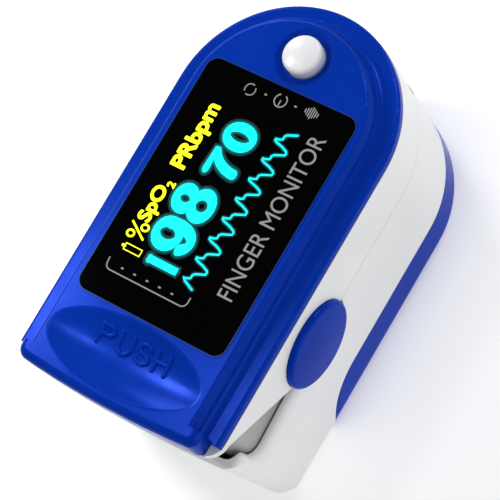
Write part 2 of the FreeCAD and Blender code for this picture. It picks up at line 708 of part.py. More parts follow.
def make_torsion_spring(side):
    """Torsion spring on one pin: its coil, and two legs that push the jaws' rear ends apart."""
    coil_radius = 1.95
    leg = 7.0
    coil_start = Vector(spring_x - 0.8, hinge_y, hinge_z)
    coil = ring_stack(coil_start, ALONG_X, coil_radius, spring_wire_radius, 3)
    low_start = Vector(coil_start.x, hinge_y, hinge_z - coil_radius)
    low_start.x += spring_wire_radius
    high_start = Vector(coil_start.x + 5.6 * spring_wire_radius, hinge_y, hinge_z + coil_radius)
    low_leg = rod(spring_wire_radius * 0.95, low_start, Vector(0, -1, -0.5), leg)
    high_leg = rod(spring_wire_radius * 0.95, high_start, Vector(0, -1, 0.18), leg)
    spring = coil.fuse([low_leg, high_leg])
    return spring if side > 0 else spring.mirror(Vector(0, 0, 0), ALONG_X)


def cell(side):
    """AAA cell along Y: the right one's nub is at the finger end, the left one's at the rear."""
    body_start = cell_rear_y + (cell_nub_length if side < 0 else 0)
    nub_start = cell_rear_y if side < 0 else cell_rear_y + cell_length - cell_nub_length
    body_length = cell_length - cell_nub_length
    body = rod(cell_radius, Vector(side * cell_x, body_start, cell_z), ALONG_Y, body_length)
    rims = [e for e in body.Edges if e.BoundBox.YLength < 0.01]
    body = body.makeFillet(0.4, rims)
    nub = rod(cell_nub_radius, Vector(side * cell_x, nub_start, cell_z), ALONG_Y, cell_nub_length)
    return body.fuse(nub)


def make_battery_bridge():
    """Front contact plate that joins both cells."""
    plate_y = cell_rear_y + cell_length + 0.05
    return box(-8.8, 8.8, plate_y, plate_y + contact_thickness, 3.6, 10.2)


def make_battery_contacts():
    """Two rear plates; the left one has a dimple for the cell's nub."""
    plate_front_y = bay_rear_y + contact_thickness
    left, right = [box(side * cell_x - 3.6, side * cell_x + 3.6, bay_rear_y, plate_front_y, 3.6, 10.2)
                   for side in (-1, 1)]
    dimple = rod(1.6, Vector(-cell_x, plate_front_y, cell_z), ALONG_Y, cell_rear_y - plate_front_y - 0.03)
    return Part.makeCompound([left.fuse(dimple), right])


def make_battery_spring():
    """Small coil spring behind the right cell's flat end."""
    wire_radius = 0.18
    start = Vector(cell_x, bay_rear_y + contact_thickness + 0.01, cell_z)
    return ring_stack(start, ALONG_Y, 2.6, wire_radius, 2)


def make_jaw_flex():
    """Ribbon across the hinge: along the lower frame, round a loop and back along the upper deck."""
    thick = 0.2
    low_z = frame_top_z + 0.15
    high_z = deck_top_z - deck_thickness - 0.15
    start_y = pad_rear_y - 1.5
    turn_y = hinge_y - 4.4
    middle = (low_z + high_z) / 2
    radius = (high_z - low_z) / 2
    inner = radius - thick
    edges = side_lines([(start_y, high_z - thick), (start_y, high_z), (turn_y, high_z)])
    edges.append(side_arc((turn_y, high_z), (turn_y - radius, middle), (turn_y, low_z)))
    edges += side_lines([(turn_y, low_z), (start_y, low_z), (start_y, low_z + thick), (turn_y, low_z + thick)])
    edges.append(side_arc((turn_y, low_z + thick), (turn_y - inner, middle), (turn_y, high_z - thick)))
    edges += side_lines([(turn_y, high_z - thick), (start_y, high_z - thick)])
    return side_face(edges).common(box(-3, 3, -40, 40, 0, 60))


def screw(x, y, head_z, direction, shank):
    """Pan-head screw with a cross recess; its shank runs from the head along the direction."""
    away = Vector(0, 0, direction)
    head = rod(screw_head_radius, Vector(x, y, head_z), away * -1, screw_head_height)
    for long_x, long_y in ((1.6, 0.32), (0.32, 1.6)):
        top = head_z - direction * screw_head_height
        low, high = sorted((top, top + direction * 0.45))
        head = head.cut(box(x - long_x / 2, x + long_x / 2, y - long_y / 2, y + long_y / 2, low, high))
    return head.fuse(rod(screw_radius, Vector(x, y, head_z), away, shank)).removeSplitter()


def make_cover_screws():
    """Four screws, up through the deck into the top cover's posts."""
    deck_bottom = deck_top_z - deck_thickness
    lengths = (3.8, 3.2)
    screws = [screw(side * x, y, deck_bottom, 1, length)
              for side in (-1, 1) for (x, y), length in zip(top_screw_spots, lengths)]
    return Part.makeCompound(screws)


def make_frame_screws():
    """Four screws, down through the lower frame into the battery bay's posts."""
    screws = [screw(side * frame_screw_x, y, frame_top_z, -1, 3.3)
              for side in (-1, 1) for y in frame_screw_ys]
    return Part.makeCompound(screws)


def export(name, shape):
    """Write one sub-part, and say what it is made of."""
    solids = shape.Solids
    if len(solids) == 1:
        shape = solids[0]
    shape.exportStep("parts/%s.step" % name)
    print(name, "valid", shape.isValid(), "solids", len(solids), "volume %.1f" % shape.Volume)


def main():
    """Write every sub-part."""
    os.makedirs("parts", exist_ok=True)
    makers = {
        "top_cover": make_top_cover,
        "display_lens": make_display_lens,
        "display_module": make_display_module,
        "display_flex": make_display_flex,
        "main_pcb": make_main_pcb,
        "pcb_chips": make_pcb_chips,
        "tact_switch": make_tact_switch,
        "switch_plunger": make_switch_plunger,
        "power_button": make_power_button,
        "upper_housing": make_upper_housing,
        "upper_finger_pad": make_upper_finger_pad,
        "emitter_board": make_emitter_board,
        "emitter_leds": make_emitter_leds,
        "cover_screws": make_cover_screws,
        "lower_housing": make_lower_housing,
        "lower_frame": make_lower_frame,
        "lower_finger_pad": make_lower_finger_pad,
        "detector_board": make_detector_board,
        "photodiode": make_photodiode,
        "frame_screws": make_frame_screws,
        "jaw_flex": make_jaw_flex,
        "battery_bridge": make_battery_bridge,
        "battery_contacts": make_battery_contacts,
        "battery_spring": make_battery_spring,
        "battery_cover": make_battery_cover,
    }
    for name, maker in makers.items():
        export(name, maker())
    for word, side in (("left", -1), ("right", 1)):
        export("hinge_cap_" + word, make_hinge_cap(side))
        export("hinge_pin_" + word, make_hinge_pin(side))
        export("torsion_spring_" + word, make_torsion_spring(side))
        export("battery_" + word, cell(side))


main()
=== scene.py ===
import json
import math

import bmesh
import bpy
from mathutils import Matrix, Vector


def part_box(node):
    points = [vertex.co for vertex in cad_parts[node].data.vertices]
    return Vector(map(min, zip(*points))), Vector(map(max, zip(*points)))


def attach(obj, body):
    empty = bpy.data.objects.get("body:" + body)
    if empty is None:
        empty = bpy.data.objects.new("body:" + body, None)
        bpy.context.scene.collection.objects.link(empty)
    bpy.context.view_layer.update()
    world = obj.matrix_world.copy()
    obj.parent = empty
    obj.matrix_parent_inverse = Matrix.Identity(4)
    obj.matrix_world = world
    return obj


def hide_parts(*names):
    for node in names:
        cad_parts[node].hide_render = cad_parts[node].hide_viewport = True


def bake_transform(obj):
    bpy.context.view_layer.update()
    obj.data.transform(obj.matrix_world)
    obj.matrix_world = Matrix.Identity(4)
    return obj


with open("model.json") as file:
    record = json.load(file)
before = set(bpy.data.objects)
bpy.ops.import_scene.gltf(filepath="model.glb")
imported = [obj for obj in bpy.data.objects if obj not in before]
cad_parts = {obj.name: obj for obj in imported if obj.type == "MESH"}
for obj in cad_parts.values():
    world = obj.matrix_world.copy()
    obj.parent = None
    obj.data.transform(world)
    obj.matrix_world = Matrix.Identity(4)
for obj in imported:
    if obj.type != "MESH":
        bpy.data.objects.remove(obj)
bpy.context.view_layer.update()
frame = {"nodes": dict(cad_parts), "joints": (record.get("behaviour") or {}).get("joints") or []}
nodes = frame["nodes"]
joints = {joint["name"]: joint for joint in frame["joints"]}

MM = 0.001
lens_low, lens_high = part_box("display_lens")
cover_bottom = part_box("top_cover")[0].z
hinge = Vector(joints["jaw_hinge"]["pos_m"])
lens_top = lens_high.z
plateau_top = lens_top - 0.05 * MM

# Sizes with MM are metres; plain ones are millimetres, for the functions that take millimetres.
# SKIRT_SIDE and SKIRT_REAR bound the skirt that gets painted shade in the upper housing's material.
SKIRT_SIDE = 14.1 * MM
SKIRT_REAR = -26.1 * MM
DISH_CENTER = (-0.2 * MM, -22.25 * MM)
DISH_HALF_SIZE = (11.5 * MM, 4.6 * MM)
DISH_DEPTH = 1.25 * MM
DISH_RISE = 12.0 * MM
PUSH_RADIUS = 0.32
PUSH_SIZE = (1.85, 2.35)
PUSH_START = (-5.15, -21.8)
PUSH_PITCH = 2.85
LENS_CORNER = 1.6
PAD_VOXEL = 0.22 * MM
GROOVE_PITCH = 1.5 * MM
GROOVE_DEPTH = 0.16 * MM
TORSION_WIRE = 0.28
TORSION_RADIUS = 1.95
BATTERY_WIRE = 0.17
BATTERY_RADIUS = 2.4
COIL_TURNS = 2.5
GRAPHIC_STEP = 0.02 * MM


# Camera, floor and light

def camera():
    """Long lens above the battery end's right side, tilted so that the display runs up to the right."""
    aim = Vector((-1.1, -1.1, 15.0)) * MM
    place = Vector((141.8, -45.1, 289.0)) * MM
    up = Vector((-0.395, 0.852, 0.343))
    back = (place - aim).normalized()
    right = up.cross(back).normalized()
    up = back.cross(right)
    data = bpy.data.cameras.new("camera")
    data.lens = 177.4
    data.sensor_width = 36
    data.clip_start = 0.01
    holder = bpy.data.objects.new("camera", data)
    bpy.context.scene.collection.objects.link(holder)
    turn = Matrix((right, up, back)).transposed().to_4x4()
    holder.matrix_world = Matrix.Translation(place) @ turn
    bpy.context.scene.camera = holder


def area_light(name, place, aim, size, power, color=(1, 1, 1)):
    """Square soft light at a place, facing a point."""
    data = bpy.data.lights.new(name, "AREA")
    data.shape = "SQUARE"
    data.size = size
    data.energy = power
    data.color = color
    light = bpy.data.objects.new(name, data)
    light.location = place
    light.visible_camera = False
    light.rotation_euler = (Vector(aim) - Vector(place)).to_track_quat("-Z", "Y").to_euler()
    bpy.context.scene.collection.objects.link(light)


def studio():
    """Pale floor, a soft world, three soft boxes, and two small ones close by for the glints in the dish."""
    bpy.ops.mesh.primitive_plane_add(size=6, location=(0, 0, 0))
    floor = bpy.context.object
    floor.name = "floor"
    floor.data.materials.append(floor_material())
    world = bpy.data.worlds.new("studio")
    world.use_nodes = True
    background = world.node_tree.nodes["Background"]
    background.inputs["Color"].default_value = (0.97, 0.98, 1.0, 1)
    background.inputs["Strength"].default_value = 0.45
    bpy.context.scene.world = world
    middle = (0, 0, 0.015)
    area_light("key", (-0.36, 0.22, 0.27), middle, 0.16, 0.72)
    area_light("left", (-0.100, -0.009, 0.147), (0.010, -0.022, 0.031), 0.026, 0.085)
    area_light("above", (-0.051, -0.010, 0.185), (-0.010, -0.022, 0.031), 0.022, 0.030)
    area_light("back", (0.06, 0.50, 0.36), middle, 0.16, 0.75)
    area_light("fill", (0.52, -0.08, 0.16), middle, 0.30, 0.65)
    bpy.context.scene.view_settings.view_transform = "Standard"


# Materials

def node_input(shader, name, value):
    """Set one of the shader's own sockets."""
    shader.inputs[name].default_value = value


def noise(tree, coordinates, scale, detail):
    """Noise texture over object coordinates."""
    texture = tree.nodes.new("ShaderNodeTexNoise")
    texture.inputs["Scale"].default_value = scale
    texture.inputs["Detail"].default_value = detail
    tree.links.new(coordinates, texture.inputs["Vector"])
    return texture.outputs["Fac"]


def ramp(tree, factor, stops):
    """Colour ramp from a factor, through (position, colour) stops."""
    node = tree.nodes.new("ShaderNodeValToRGB")
    elements = node.color_ramp.elements
    while len(elements) < len(stops):
        elements.new(0.5)
    for element, (position, color) in zip(elements, stops):
        element.position = position
        element.color = (*color, 1)
    tree.links.new(factor, node.inputs["Fac"])
    return node.outputs["Color"]


def spread(tree, factor, low, high):
    """A factor stretched from its middle range to low..high."""
    node = tree.nodes.new("ShaderNodeMapRange")
    node.inputs["From Min"].default_value = 0.3
    node.inputs["From Max"].default_value = 0.7
    node.inputs["To Min"].default_value = low
    node.inputs["To Max"].default_value = high
    tree.links.new(factor, node.inputs["Value"])
    return node.outputs["Result"]


def compare(tree, value, operation, limit):
    """1 where the value is past the limit, otherwise 0."""
    node = tree.nodes.new("ShaderNodeMath")
    node.operation = operation
    tree.links.new(value, node.inputs[0])
    node.inputs[1].default_value = limit
    return node.outputs["Value"]


def multiply(tree, first, second):
    """Product of two values."""
    node = tree.nodes.new("ShaderNodeMath")
    node.operation = "MULTIPLY"
    tree.links.new(first, node.inputs[0])
    tree.links.new(second, node.inputs[1])
    return node.outputs["Value"]


def moulded(name, dark, light, roughness, grain=0.0, grain_scale=5200, drift_scale=60, **sockets):
    """Material whose colour and gloss drift a little, with a fine moulded or drawn grain."""
    material = bpy.data.materials.new(name)
    material.use_nodes = True
    tree = material.node_tree
    shader = tree.nodes["Principled BSDF"]
    coordinates = tree.nodes.new("ShaderNodeTexCoord").outputs["Object"]
    drift = noise(tree, coordinates, drift_scale, 3)
    tree.links.new(ramp(tree, drift, ((0.3, dark), (0.7, light))), shader.inputs["Base Color"])
    gloss = spread(tree, noise(tree, coordinates, drift_scale * 6, 4), *roughness)
    tree.links.new(gloss, shader.inputs["Roughness"])
    if grain:
        bump = tree.nodes.new("ShaderNodeBump")
        bump.inputs["Strength"].default_value = grain
        bump.inputs["Distance"].default_value = 0.02 * MM
        tree.links.new(noise(tree, coordinates, grain_scale, 5), bump.inputs["Height"])
        tree.links.new(bump.outputs["Normal"], shader.inputs["Normal"])
    for socket, value in sockets.items():
        node_input(shader, socket.replace("_", " "), value)
    return material


def lit(name, dark, light, strength):
    """Glowing display segments with the fine cell pattern of a display panel."""
    material = bpy.data.materials.new(name)
    material.use_nodes = True
    tree = material.node_tree
    shader = tree.nodes["Principled BSDF"]
    coordinates = tree.nodes.new("ShaderNodeTexCoord").outputs["Object"]
    cells = tree.nodes.new("ShaderNodeTexVoronoi")
    cells.distance = "CHEBYCHEV"
    cells.inputs["Scale"].default_value = 5000
    cells.inputs["Randomness"].default_value = 0
    tree.links.new(coordinates, cells.inputs["Vector"])
    color = ramp(tree, cells.outputs["Distance"], ((0.2, light), (0.75, dark)))
    tree.links.new(color, shader.inputs["Base Color"])
    tree.links.new(color, shader.inputs["Emission Color"])
    node_input(shader, "Emission Strength", strength)
    node_input(shader, "Roughness", 0.5)
    node_input(shader, "Specular IOR Level", 0.1)
    return material


def floor_material():
    """White matt sweep."""
    return moulded("floor_white", (0.90, 0.90, 0.90), (0.94, 0.94, 0.94), (0.85, 0.95), drift_scale=3,
                   Specular_IOR_Level=0.1, Emission_Color=(1, 1, 1, 1), Emission_Strength=0.29)


def cell_material():
    """Cell jacket: dark wrap, a bright band, and bare metal at both ends, set out along the cell."""
    material = moulded("cell_wrap", (0.02, 0.022, 0.026), (0.035, 0.037, 0.042), (0.25, 0.35),
                       Coat_Weight=0.4)
    tree = material.node_tree
    shader = tree.nodes["Principled BSDF"]
    place = tree.nodes.new("ShaderNodeSeparateXYZ")
    tree.links.new(tree.nodes.new("ShaderNodeTexCoord").outputs["Object"], place.inputs["Vector"])
    low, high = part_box("battery_left")
    along = tree.nodes.new("ShaderNodeMapRange")
    along.inputs["From Min"].default_value = low.y
    along.inputs["From Max"].default_value = high.y
    tree.links.new(place.outputs["Y"], along.inputs["Value"])
    steel = (0.55, 0.55, 0.56)
    wrap = (0.02, 0.022, 0.026)
    band = (0.62, 0.46, 0.12)
    bands = ramp(tree, along.outputs["Result"],
                 ((0.0, steel), (0.035, wrap), (0.09, band), (0.3, wrap), (0.965, steel)))
    bands.node.color_ramp.interpolation = "CONSTANT"
    tree.links.new(bands, shader.inputs["Base Color"])
    return material


def painted_skirt_shade_material():
    """White shell whose recessed skirt, behind the hinge and inside the outer wall, is coloured grey: painted shade
    for the recess it sits in.
    """
    material = moulded("white_and_painted_skirt_shade", (0.71, 0.72, 0.72), (0.77, 0.775, 0.78), (0.30, 0.42), grain=0.10,
                       Specular_IOR_Level=0.35)
    tree = material.node_tree
    shader = tree.nodes["Principled BSDF"]
    place = tree.nodes.new("ShaderNodeSeparateXYZ")
    tree.links.new(tree.nodes.new("ShaderNodeTexCoord").outputs["Object"], place.inputs["Vector"])
    across = tree.nodes.new("ShaderNodeMath")
    across.operation = "ABSOLUTE"
    tree.links.new(place.outputs["X"], across.inputs[0])
    outer = compare(tree, across.outputs["Value"], "LESS_THAN", SKIRT_SIDE)
    behind = compare(tree, place.outputs["Y"], "LESS_THAN", hinge.y)
    below = compare(tree, place.outputs["Z"], "LESS_THAN", cover_bottom - 1.0 * MM)
    ahead = compare(tree, place.outputs["Y"], "GREATER_THAN", SKIRT_REAR)
    skirt_shade_mask = multiply(tree, multiply(tree, outer, behind), multiply(tree, below, ahead))
    coordinates = tree.nodes.new("ShaderNodeTexCoord").outputs["Object"]
    # Painted shade: the recessed skirt is coloured grey to stand for the shade that falls in the recess.
    painted_skirt_shade = ramp(tree, noise(tree, coordinates, 90, 4), ((0.3, (0.30, 0.295, 0.295)), (0.7, (0.40, 0.39, 0.39))))
    mix = tree.nodes.new("ShaderNodeMix")
    mix.data_type = "RGBA"
    tree.links.new(skirt_shade_mask, mix.inputs["Factor"])
    tree.links.new(shader.inputs["Base Color"].links[0].from_socket, mix.inputs["A"])
    tree.links.new(painted_skirt_shade, mix.inputs["B"])
    tree.links.new(mix.outputs["Result"], shader.inputs["Base Color"])
    return material


def make_materials():
    """Every finish of the object."""
    return {
        "blue": moulded("blue_plastic", (0.0004, 0.026, 0.31), (0.0008, 0.033, 0.38), (0.18, 0.26), grain=0.02,
                        Metallic=0.12, Specular_IOR_Level=0.035),
        "white": moulded("white_plastic", (0.71, 0.72, 0.72), (0.77, 0.775, 0.78), (0.30, 0.42), grain=0.10,
                         Specular_IOR_Level=0.35),
        # Upper housing: white plastic with painted shade on its recessed skirt.
        "white_upper_painted_shade": painted_skirt_shade_material(),
        "frame": moulded("white_frame", (0.60, 0.61, 0.62), (0.68, 0.69, 0.70), (0.45, 0.6), grain=0.25),
        "button": moulded("button_white", (0.70, 0.71, 0.72), (0.76, 0.765, 0.77), (0.25, 0.35), grain=0.04),
        "lens": moulded("lens_black", (0.0004, 0.0004, 0.0005), (0.0008, 0.0008, 0.0010), (0.04, 0.08),
                        Specular_IOR_Level=0.015),
        # Lens edge: the cover's blue made darker, painted shade along the lip round the lens.
        "lens_edge": moulded("lens_edge", (0.004, 0.03, 0.20), (0.008, 0.04, 0.26), (0.2, 0.3),
                             Specular_IOR_Level=0.1),
        "silicone": moulded("silicone_grey", (0.16, 0.165, 0.175), (0.21, 0.215, 0.225), (0.55, 0.72), grain=0.5,
                            grain_scale=3200, Specular_IOR_Level=0.35, Sheen_Weight=0.15),
        "board": moulded("board_green", (0.004, 0.075, 0.022), (0.007, 0.11, 0.035), (0.25, 0.4), grain=0.3,
                         grain_scale=1800, drift_scale=400),
        "resin": moulded("chip_resin", (0.012, 0.012, 0.013), (0.022, 0.022, 0.023), (0.45, 0.6), grain=0.4),
        "film": moulded("ribbon_film", (0.34, 0.13, 0.02), (0.46, 0.19, 0.03), (0.2, 0.35), drift_scale=300),
        "panel": moulded("display_panel", (0.004, 0.004, 0.006), (0.008, 0.008, 0.011), (0.08, 0.14)),
        "clear": moulded("sensor_resin", (0.55, 0.53, 0.46), (0.66, 0.64, 0.56), (0.1, 0.2), Coat_Weight=0.6),
        "steel": moulded("bright_steel", (0.50, 0.50, 0.51), (0.62, 0.62, 0.63), (0.18, 0.32), grain=0.15,
                         Metallic=1.0),
        "nickel": moulded("contact_nickel", (0.62, 0.59, 0.52), (0.72, 0.69, 0.61), (0.16, 0.3), grain=0.1,
                          Metallic=1.0),
        "cell": cell_material(),
        "cyan": lit("lit_cyan", (0.0, 0.80, 0.86), (0.0, 1.0, 1.0), 1.0),
        "cyan_near_glow": lit("cyan_near_glow", (0.0, 0.050, 0.050), (0.0, 0.080, 0.080), 1.0),
        "cyan_far_glow": lit("cyan_far_glow", (0.0, 0.010, 0.011), (0.0, 0.016, 0.018), 1.0),
        "yellow": lit("lit_yellow", (0.80, 0.80, 0.0), (1.0, 1.0, 0.02), 1.0),
        # Grey print with a faint glow: painted light, since print is no lamp.
        "print_grey_painted_glow": lit("print_grey_painted_glow", (0.17, 0.18, 0.17), (0.22, 0.23, 0.22), 0.40),
    }


def finish_cad_nodes(materials):
    """Give each CAD node its finish."""
    finishes = {
        "blue": ("top_cover", "battery_cover", "hinge_cap_left", "hinge_cap_right"),
        "white": ("lower_housing",),
        "white_upper_painted_shade": ("upper_housing",),
        "frame": ("lower_frame",),
        "button": ("power_button",),
        "lens": ("display_lens",),
        "board": ("main_pcb", "emitter_board", "detector_board"),
        "resin": ("pcb_chips", "photodiode", "switch_plunger"),
        "film": ("jaw_flex", "display_flex"),
        "panel": ("display_module",),
        "clear": ("emitter_leds",),
        "steel": ("tact_switch", "hinge_pin_left", "hinge_pin_right", "cover_screws", "frame_screws",
                  "torsion_spring_left", "torsion_spring_right"),
        "nickel": ("battery_bridge", "battery_contacts", "battery_spring"),
        "cell": ("battery_left", "battery_right"),
        "silicone": ("upper_finger_pad", "lower_finger_pad"),
    }
    for finish, names in finishes.items():
        for name in names:
            data = nodes[name].data
            data.materials.clear()
            data.materials.append(materials[finish])


# Pieces

def link(name, mesh, material, body):
    """Put a mesh in the scene as a piece that rides on a body, or on none if no body is given."""
    piece = bpy.data.objects.new(name, mesh)
    bpy.context.scene.collection.objects.link(piece)
    mesh.materials.clear()
    mesh.materials.append(material)
    if body:
        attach(piece, body)
    return piece


def text_mesh(text):
    """Thin solid mesh of a word, about one unit tall."""
    curve = bpy.data.curves.new("word", "FONT")
    curve.body = text
    curve.extrude = 0.01
    curve.resolution_u = 10
    holder = bpy.data.objects.new("word", curve)
    bpy.context.scene.collection.objects.link(holder)
    bpy.context.view_layer.update()
    mesh = bpy.data.meshes.new_from_object(holder.evaluated_get(bpy.context.evaluated_depsgraph_get()))
    bpy.data.objects.remove(holder)
    return mesh


def tube_mesh(paths, radius, closed=False):
    """Mesh of round tubes with round ends along paths given in millimetres."""
    curve = bpy.data.curves.new("tube", "CURVE")
    curve.dimensions = "3D"
    for path in paths:
        spline = curve.splines.new("POLY")
        spline.points.add(len(path) - 1)
        for point, place in zip(spline.points, path):
            point.co = (*(v * MM for v in place), 1)
        spline.use_cyclic_u = closed
        spline.use_smooth = False
    curve.bevel_depth = radius * MM
    curve.bevel_resolution = 4
    curve.use_fill_caps = True
    holder = bpy.data.objects.new("tube", curve)
    bpy.context.scene.collection.objects.link(holder)
    bpy.context.view_layer.update()
    mesh = bpy.data.meshes.new_from_object(holder.evaluated_get(bpy.context.evaluated_depsgraph_get()))
    bpy.data.objects.remove(holder)
    joined = bmesh.new()
    joined.from_mesh(mesh)
    if not closed:
        for path in paths:
            for place in (path[0], path[-1]):
                turn = Matrix.Translation([v * MM for v in place])
                bmesh.ops.create_icosphere(joined, subdivisions=2, radius=radius * MM, matrix=turn)
    joined.to_mesh(mesh)
    joined.free()
    for polygon in mesh.polygons:
        polygon.use_smooth = True
    return mesh


def fit(mesh, low, high, z_low, z_high):
    """Stretch a flat word to fill a box in plan, reading along +Y with its tops to -X."""
    spots = [vertex.co.copy() for vertex in mesh.vertices]
    least = Vector([min(spot[i] for spot in spots) for i in range(3)])
    most = Vector([max(spot[i] for spot in spots) for i in range(3)])
    span = most - least
    for vertex, spot in zip(mesh.vertices, spots):
        share = [(spot[i] - least[i]) / span[i] if span[i] else 0 for i in range(3)]
        x = high[0] + (low[0] - high[0]) * share[1]
        y = low[1] + (high[1] - low[1]) * share[0]
        vertex.co = (x, y, z_low + (z_high - z_low) * share[2])


def display_word(name, text, low, high, boldness, material):
    """A lit word on the display, filling a box given in millimetres; copies a little apart make it bold."""
    plain = text_mesh(text)
    fit(plain, [(v + boldness) * MM for v in low], [(v - boldness) * MM for v in high],
        lens_top + 1.9 * GRAPHIC_STEP, lens_top + 2.1 * GRAPHIC_STEP)
    joined = bmesh.new()
    copies = 10 if boldness else 1
    for copy in range(copies):
        turn = math.tau * copy / copies
        shift = Vector((math.cos(turn), math.sin(turn), 0)) * boldness * MM
        before = len(joined.verts)
        joined.from_mesh(plain)
        joined.verts.ensure_lookup_table()
        for vertex in joined.verts[before:]:
            vertex.co += shift + Vector((0, 0, copy * 0.0002 * MM))
    mesh = bpy.data.meshes.new(name)
    joined.to_mesh(mesh)
    joined.free()
    return link(name, mesh, material, "upper_jaw")


def stroke(name, paths, width, material, layer=2, closed=False, squeeze=1.0):
    """Flat round-ended strokes on the display along paths given in millimetres; squeeze narrows them in x."""
    mesh = tube_mesh([[(x / squeeze, y, 0) for x, y in path] for path in paths], width / 2, closed)
    flatten = 0.2 * GRAPHIC_STEP / (width * MM / 2)
    for vertex in mesh.vertices:
        vertex.co.x *= squeeze
        vertex.co.z = lens_top + layer * GRAPHIC_STEP + vertex.co.z * flatten
    return link(name, mesh, material, "upper_jaw")


def arc(center, radii, start, end, count=25):
    """Points of an elliptical arc in plan, angles in degrees."""
    angles = [math.radians(start + (end - start) * i / (count - 1)) for i in range(count)]
    return [(center[0] + radii[0] * math.cos(a), center[1] + radii[1] * math.sin(a)) for a in angles]


def digit_paths(digit):
    """Centre lines of a digit, as (right, up) with both running from -1 to 1."""
    if digit == "0":
        return [arc((0, 0), (1, 1), 0, 360)]
    if digit == "7":
        return [[(-1, 1), (1, 1)] + arc((1.9, -1.0), (2.4, 2.05), 112, 180, 9)]
    if digit == "8":
        return [arc((0, 0.52), (0.82, 0.48), 0, 360), arc((0, -0.48), (1, 0.52), 0, 360)]
    return [arc((0, 0.36), (0.98, 0.64), 0, 360), arc((-0.02, 0.0), (1.0, 1.0), 24, -142)]


def reading(name, digits, low, high, stem, materials):
    """A bold glowing number on the display; its stems are wider than its bars. Sizes in millimetres."""
    bar = stem * 0.66
    width = (high[1] - low[1]) / len(digits)
    for index, digit in enumerate(digits):
        center_y = low[1] + width * (index + 0.5)
        center_x = (low[0] + high[0]) / 2
        half_x = (high[0] - low[0] - bar) / 2
        half_y = (width - 0.12 - stem) / 2
        paths = [[(center_x - up * half_x, center_y + right * half_y) for right, up in path]
                 for path in digit_paths(digit)]
        label = "%s_%s" % (name, index + 1)
        glowing(label, paths, stem, materials, squeeze=bar / stem)


def glowing(name, paths, width, materials, squeeze=1.0, reach=1.0):
    """Lit strokes with two fainter, wider ones behind them."""
    stroke(name, paths, width, materials["cyan"], squeeze=squeeze)
    for layer, (finish, extra) in enumerate((("cyan_far_glow", 1.0), ("cyan_near_glow", 0.5))):
        wide = width + extra * reach
        wide_squeeze = (width * squeeze + extra * reach) / wide
        stroke("%s_%s" % (name, finish), paths, wide, materials[finish], layer=layer, squeeze=wide_squeeze)


def pulse_wave(materials):
    """The pulse trace: a steep rise, a notch and a long fall, beat after beat along the display."""
    beat = ((0, 0), (0.45, 0.05), (0.89, 0.25), (0.92, 0.72), (1.15, 0.95), (2.40, 1.45), (2.46, 1.72),
            (2.30, 1.95), (1.53, 2.26), (0.57, 2.50), (0.20, 2.68))
    length = 2.885
    drift = 0.168
    top = (1.30, -10.2)
    points = [(top[0] + 1.85, top[1] - 0.9), (top[0] + 1.45, top[1] - 0.75), (top[0] + 0.4, top[1] - 0.3)]
    for index in range(8):
        for x, y in beat[:6] if index == 7 else beat:
            points.append((top[0] + x + drift * index, top[1] + y + length * index))
    glowing("pulse_wave", [points], 0.22, materials, reach=0.5)


def display_graphics(materials):
    """Readings, units, trace and printed marks on the display."""
    yellow = materials["yellow"]
    # The printed marks glow faintly: painted light on the print.
    grey = materials["print_grey_painted_glow"]
    reading("reading_oxygen", "98", (-5.8, -8.7), (0.3, 0.9), 1.55, materials)
    reading("reading_pulse", "70", (-4.2, 2.3), (0.45, 10.2), 1.30, materials)
    bar = [[(-4.05, -10.3), (-4.05, -9.8), (-0.05, -9.8), (-0.05, -10.3), (-4.05, -10.3), (-4.05, -9.8)]]
    bar.append([(-4.0, -10.05), (-0.1, -10.05)])
    glowing("level_bar", bar, 0.62, materials)
    pulse_wave(materials)
    percent = [arc((-8.15, -8.3), (0.5, 0.42), 0, 360), arc((-6.75, -6.95), (0.5, 0.42), 0, 360)]
    stroke("unit_oxygen_percent", percent + [[(-6.2, -8.4), (-8.7, -6.85)]], 0.28, yellow)
    display_word("unit_oxygen", "SpO", (-8.65, -6.3), (-6.1, -1.3), 0.10, yellow)
    display_word("unit_oxygen_index", "2", (-7.3, -1.15), (-6.15, -0.35), 0.07, yellow)
    display_word("unit_pulse", "PRbpm", (-8.5, 1.5), (-5.6, 10.7), 0.12, yellow)
    display_word("caption", "FINGER MONITOR", (6.35, -10.3), (8.65, 12.4), 0.0, grey)
    stroke("cell_icon", [[(-7.9, -10.45), (-5.45, -10.45), (-5.45, -9.6), (-7.9, -9.6)]], 0.18, yellow, closed=True)
    stroke("cell_icon_tip", [[(-8.2, -10.02), (-7.95, -10.02)]], 0.4, yellow)
    bracket = [(-8.9, -12.1)] + arc((-8.05, -12.7), (0.8, 0.8), 180, 270, 7)
    bracket += arc((2.8, -12.7), (0.8, 0.8), 270, 360, 7) + [(3.6, -12.1)]
    stroke("bracket", [bracket], 0.18, grey)
    for index in range(5):
        x = -6.58 + 1.925 * index
        stroke("bracket_dot_%d" % (index + 1), [[(x - 0.1, -12.65), (x + 0.1, -12.65)]], 0.24, grey)
    stroke("icon_turn", [arc((-4.08, 14.2), (0.75, 0.75), 70, 210), arc((-4.08, 14.2), (0.75, 0.75), 250, 390)],
           0.16, grey)
    stroke("icon_power", [arc((0.38, 14.5), (0.85, 0.85), 120, 420), [(0.38, 13.9), (0.38, 14.5)]], 0.18, grey)
    for side, x, y in (("left", -1.83, 14.42), ("right", 2.57, 14.6)):
        stroke("icon_dot_" + side, [[(x - 0.08, y), (x + 0.08, y)]], 0.24, grey)
    for index in range(7):
        x = 4.92 + (index - 3) * 0.30
        reach = 0.75 - 0.18 * abs(index - 3)
        stroke("icon_level_%d" % (index + 1), [[(x, 14.7 - reach), (x, 14.7 + reach)]], 0.16, grey)


